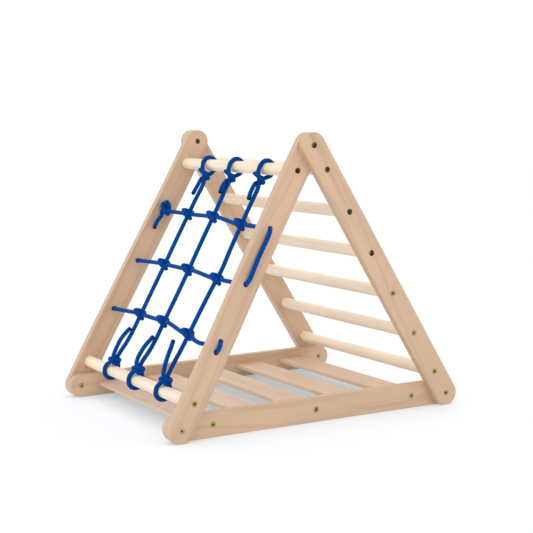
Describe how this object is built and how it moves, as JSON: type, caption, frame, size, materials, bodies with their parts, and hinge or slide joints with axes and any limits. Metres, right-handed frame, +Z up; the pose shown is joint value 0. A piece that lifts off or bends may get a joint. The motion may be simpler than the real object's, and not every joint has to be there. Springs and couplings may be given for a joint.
{
  "type": "toddler climbing triangle",
  "caption": "Low wooden climbing triangle for toddlers with a ladder of round rungs on one side, a knotted rope net on the other and a slatted floor between the feet.",
  "frame": {"origin": "Middle of the footprint on the floor, at the bottom centre of the bounding box.", "axes": "+X runs along the base rails from the net's feet to the ladder's feet, +Y runs across the frame along the rungs to the back, +Z is up."},
  "size_m": [0.663, 0.5804, 0.5833],
  "materials": {
    "board": "sanded plywood, clear satin lacquer",
    "dowel": "turned hardwood, clear satin lacquer",
    "slat": "planed pine, clear satin lacquer",
    "rope": "braided cord, deep blue",
    "fastener": "yellow passivated zinc, satin",
    "pin": "plain hardwood, untreated"
  },
  "bodies": {
    "root": {"ladder_leg_front": "board", "ladder_leg_back": "board", "net_leg_front": "board", "net_leg_back": "board", "base_rail_front": "board", "base_rail_back": "board", "rung_1": "dowel", "rung_2": "dowel", "rung_3": "dowel", "rung_4": "dowel", "rung_5": "dowel", "rung_6": "dowel", "net_dowel_top": "dowel", "net_dowel_bottom": "dowel", "floor_slat_1": "slat", "floor_slat_2": "slat", "floor_slat_3": "slat", "floor_slat_4": "slat", "floor_slat_5": "slat", "net_rope_1": "rope", "net_rope_2": "rope", "net_rope_3": "rope", "cross_rope": "rope", "apex_bolts": "fastener", "foot_bolts": "fastener", "sleeve_nuts": "fastener", "rung_screws": "fastener", "net_dowel_screws": "fastener", "slat_screws": "fastener", "slat_pins": "pin"}
  },
  "joints": []
}
